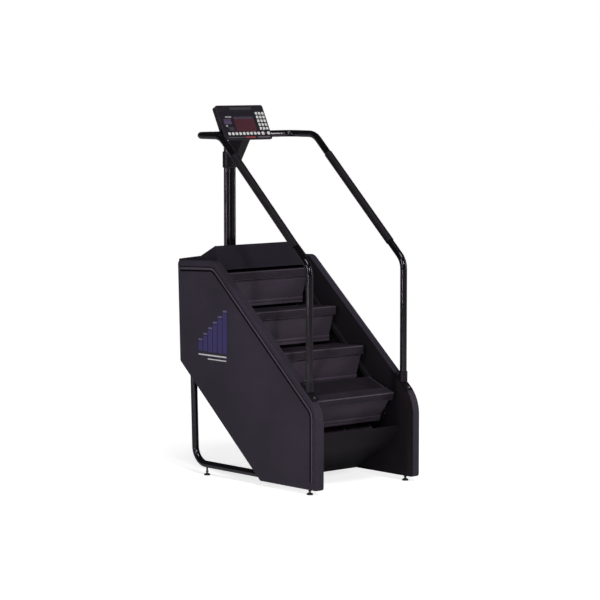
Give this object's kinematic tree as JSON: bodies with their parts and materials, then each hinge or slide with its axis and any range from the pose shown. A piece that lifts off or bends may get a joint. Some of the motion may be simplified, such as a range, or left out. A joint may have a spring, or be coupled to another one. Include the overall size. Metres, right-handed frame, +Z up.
{
  "type": "stair climber",
  "caption": "Free-standing stair climber: a chain-driven revolving staircase between two side housings, with wrap-round handrail, mast and sloping console.",
  "frame": {"origin": "centre of the footprint, on the floor", "axes": "+Z up, +Y the way the climber faces, +X to the climber's right"},
  "size_m": [0.756, 1.22, 2.0543],
  "materials": {
    "side_plastic": "textured matte",
    "step_plastic": "textured matte with grip ribs",
    "hood_plastic": "textured matte",
    "black_paint": "satin powder coat",
    "plate_paint": "matte powder coat",
    "grip_foam": "matte foam sleeve",
    "bright_steel": "plated",
    "steel": "machined",
    "gear_steel": "oiled",
    "casting": "cast",
    "console_black": "fine texture",
    "overlay_film": "printed film",
    "key_white": "printed film",
    "red_lens": "tinted",
    "board_green": "solder mask",
    "cable_black": "smooth",
    "belt_rubber": "ribbed",
    "foot_steel": "black oxide"
  },
  "bodies": {
    "frame": {"side_plate_left": "plate_paint", "side_plate_right": "plate_paint", "outer_cover_left": "side_plastic", "outer_cover_right": "side_plastic", "base_tube_left": "black_paint", "base_tube_right": "black_paint", "cross_members": "plate_paint", "top_hood": "hood_plastic", "front_cover": "hood_plastic", "underside_pan": "plate_paint", "handrail_tube": "black_paint", "handrail_grip_left": "grip_foam", "handrail_grip_right": "grip_foam", "handrail_brackets": "black_paint", "handrail_bolts": "bright_steel", "console_mast": "black_paint", "console_neck": "black_paint", "console_rear_shell": "console_black", "console_front_shell": "console_black", "display_window": "red_lens", "console_board": "board_green", "keypad_overlay": "overlay_film", "membrane_keys": "key_white", "console_cable": "cable_black", "alternator": "casting", "drive_belt": "belt_rubber", "step_chain_left": "steel", "step_chain_right": "steel", "bearings": "steel", "brake_magnet": "plate_paint", "cover_screws": "bright_steel"},
    "drive_assembly": {"drive_shaft": "steel", "drive_sprockets": "gear_steel", "drive_gear": "gear_steel", "brake_disc": "steel"},
    "idler_assembly": {"idler_shaft": "steel", "idler_sprockets": "gear_steel"},
    "pinion_assembly": {"pinion_shaft": "gear_steel", "large_pulley": "casting"},
    "alternator_rotor_body": {"alternator_rotor": "steel"},
    "step_body_1": {"step_1": "step_plastic", "step_axle_1": "steel"},
    "step_body_2": {"step_2": "step_plastic", "step_axle_2": "steel"},
    "step_body_3": {"step_3": "step_plastic", "step_axle_3": "steel"},
    "step_body_4": {"step_4": "step_plastic", "step_axle_4": "steel"},
    "step_body_5": {"step_5": "step_plastic", "step_axle_5": "steel"},
    "step_body_6": {"step_6": "step_plastic", "step_axle_6": "steel"},
    "step_body_7": {"step_7": "step_plastic", "step_axle_7": "steel"},
    "step_body_8": {"step_8": "step_plastic", "step_axle_8": "steel"},
    "levelling_foot_rear_left_body": {"levelling_foot_rear_left": "foot_steel"},
    "levelling_foot_rear_right_body": {"levelling_foot_rear_right": "foot_steel"},
    "levelling_foot_front_left_body": {"levelling_foot_front_left": "foot_steel"},
    "levelling_foot_front_right_body": {"levelling_foot_front_right": "foot_steel"}
  },
  "joints": [
    {"name": "step_1_travel", "type": "slide", "parent": "frame", "child": "step_body_1", "axis": [0, -0.7454, -0.6667], "range_m": [-0.03387, 0.27093]},
    {"name": "stair_drive", "type": "hinge", "parent": "frame", "child": "drive_assembly", "pos_m": [0, 0.3817, 0.9963], "axis": [1, 0, 0], "range_deg": [-20.5, 160.5]},
    {"name": "idler_turn", "type": "hinge", "parent": "frame", "child": "idler_assembly", "pos_m": [0, -0.29985, 0.3867], "axis": [1, 0, 0], "range_deg": [-20.5, 160.5]},
    {"name": "pinion_turn", "type": "hinge", "parent": "frame", "child": "pinion_assembly", "pos_m": [0, 0.375, 0.81642], "axis": [1, 0, 0], "range_deg": [-640.49, 80.51]},
    {"name": "alternator_turn", "type": "hinge", "parent": "frame", "child": "alternator_rotor_body", "pos_m": [0, 0.372, 0.588], "axis": [1, 0, 0], "range_deg": [-3200.46, 400.54]},
    {"name": "step_2_travel", "type": "slide", "parent": "frame", "child": "step_body_2", "axis": [0, -0.7454, -0.6667], "range_m": [-0.03437, 0.27143]},
    {"name": "step_3_travel", "type": "slide", "parent": "frame", "child": "step_body_3", "axis": [0, -0.7454, -0.6667], "range_m": [-0.03437, 0.27143]},
    {"name": "step_4_turn", "type": "hinge", "parent": "frame", "child": "step_body_4", "pos_m": [0, -0.29985, 0.3867], "axis": [1, 0, 0], "range_deg": [-20.5, 160.5]},
    {"name": "step_5_travel", "type": "slide", "parent": "frame", "child": "step_body_5", "axis": [0, 0.7454, 0.6667], "range_m": [-0.03437, 0.27143]},
    {"name": "step_6_travel", "type": "slide", "parent": "frame", "child": "step_body_6", "axis": [0, 0.7454, 0.6667], "range_m": [-0.03437, 0.27143]},
    {"name": "step_7_travel", "type": "slide", "parent": "frame", "child": "step_body_7", "axis": [0, 0.7454, 0.6667], "range_m": [-0.03437, 0.27143]},
    {"name": "step_8_turn", "type": "hinge", "parent": "frame", "child": "step_body_8", "pos_m": [0, 0.3817, 0.9963], "axis": [1, 0, 0], "range_deg": [-20.5, 160.5]},
    {"name": "levelling_foot_rear_left_screw", "type": "slide", "parent": "frame", "child": "levelling_foot_rear_left_body", "axis": [0, 0, -1], "range_m": [0, 0.012]},
    {"name": "levelling_foot_rear_right_screw", "type": "slide", "parent": "frame", "child": "levelling_foot_rear_right_body", "axis": [0, 0, -1], "range_m": [0, 0.012]},
    {"name": "levelling_foot_front_left_screw", "type": "slide", "parent": "frame", "child": "levelling_foot_front_left_body", "axis": [0, 0, -1], "range_m": [0, 0.012]},
    {"name": "levelling_foot_front_right_screw", "type": "slide", "parent": "frame", "child": "levelling_foot_front_right_body", "axis": [0, 0, -1], "range_m": [0, 0.012]}
  ],
  "couplings": [
    {"joint": "stair_drive", "follows": "step_1_travel", "rad_per_m": 10.307},
    {"joint": "idler_turn", "follows": "step_1_travel", "rad_per_m": 10.307},
    {"joint": "pinion_turn", "follows": "step_1_travel", "rad_per_m": -41.228},
    {"joint": "alternator_turn", "follows": "step_1_travel", "rad_per_m": -206.14},
    {"joint": "step_2_travel", "follows": "step_1_travel", "ratio": 1},
    {"joint": "step_3_travel", "follows": "step_1_travel", "ratio": 1},
    {"joint": "step_4_turn", "follows": "step_1_travel", "rad_per_m": 10.307},
    {"joint": "step_5_travel", "follows": "step_1_travel", "ratio": 1},
    {"joint": "step_6_travel", "follows": "step_1_travel", "ratio": 1},
    {"joint": "step_7_travel", "follows": "step_1_travel", "ratio": 1},
    {"joint": "step_8_turn", "follows": "step_1_travel", "rad_per_m": 10.307}
  ]
}
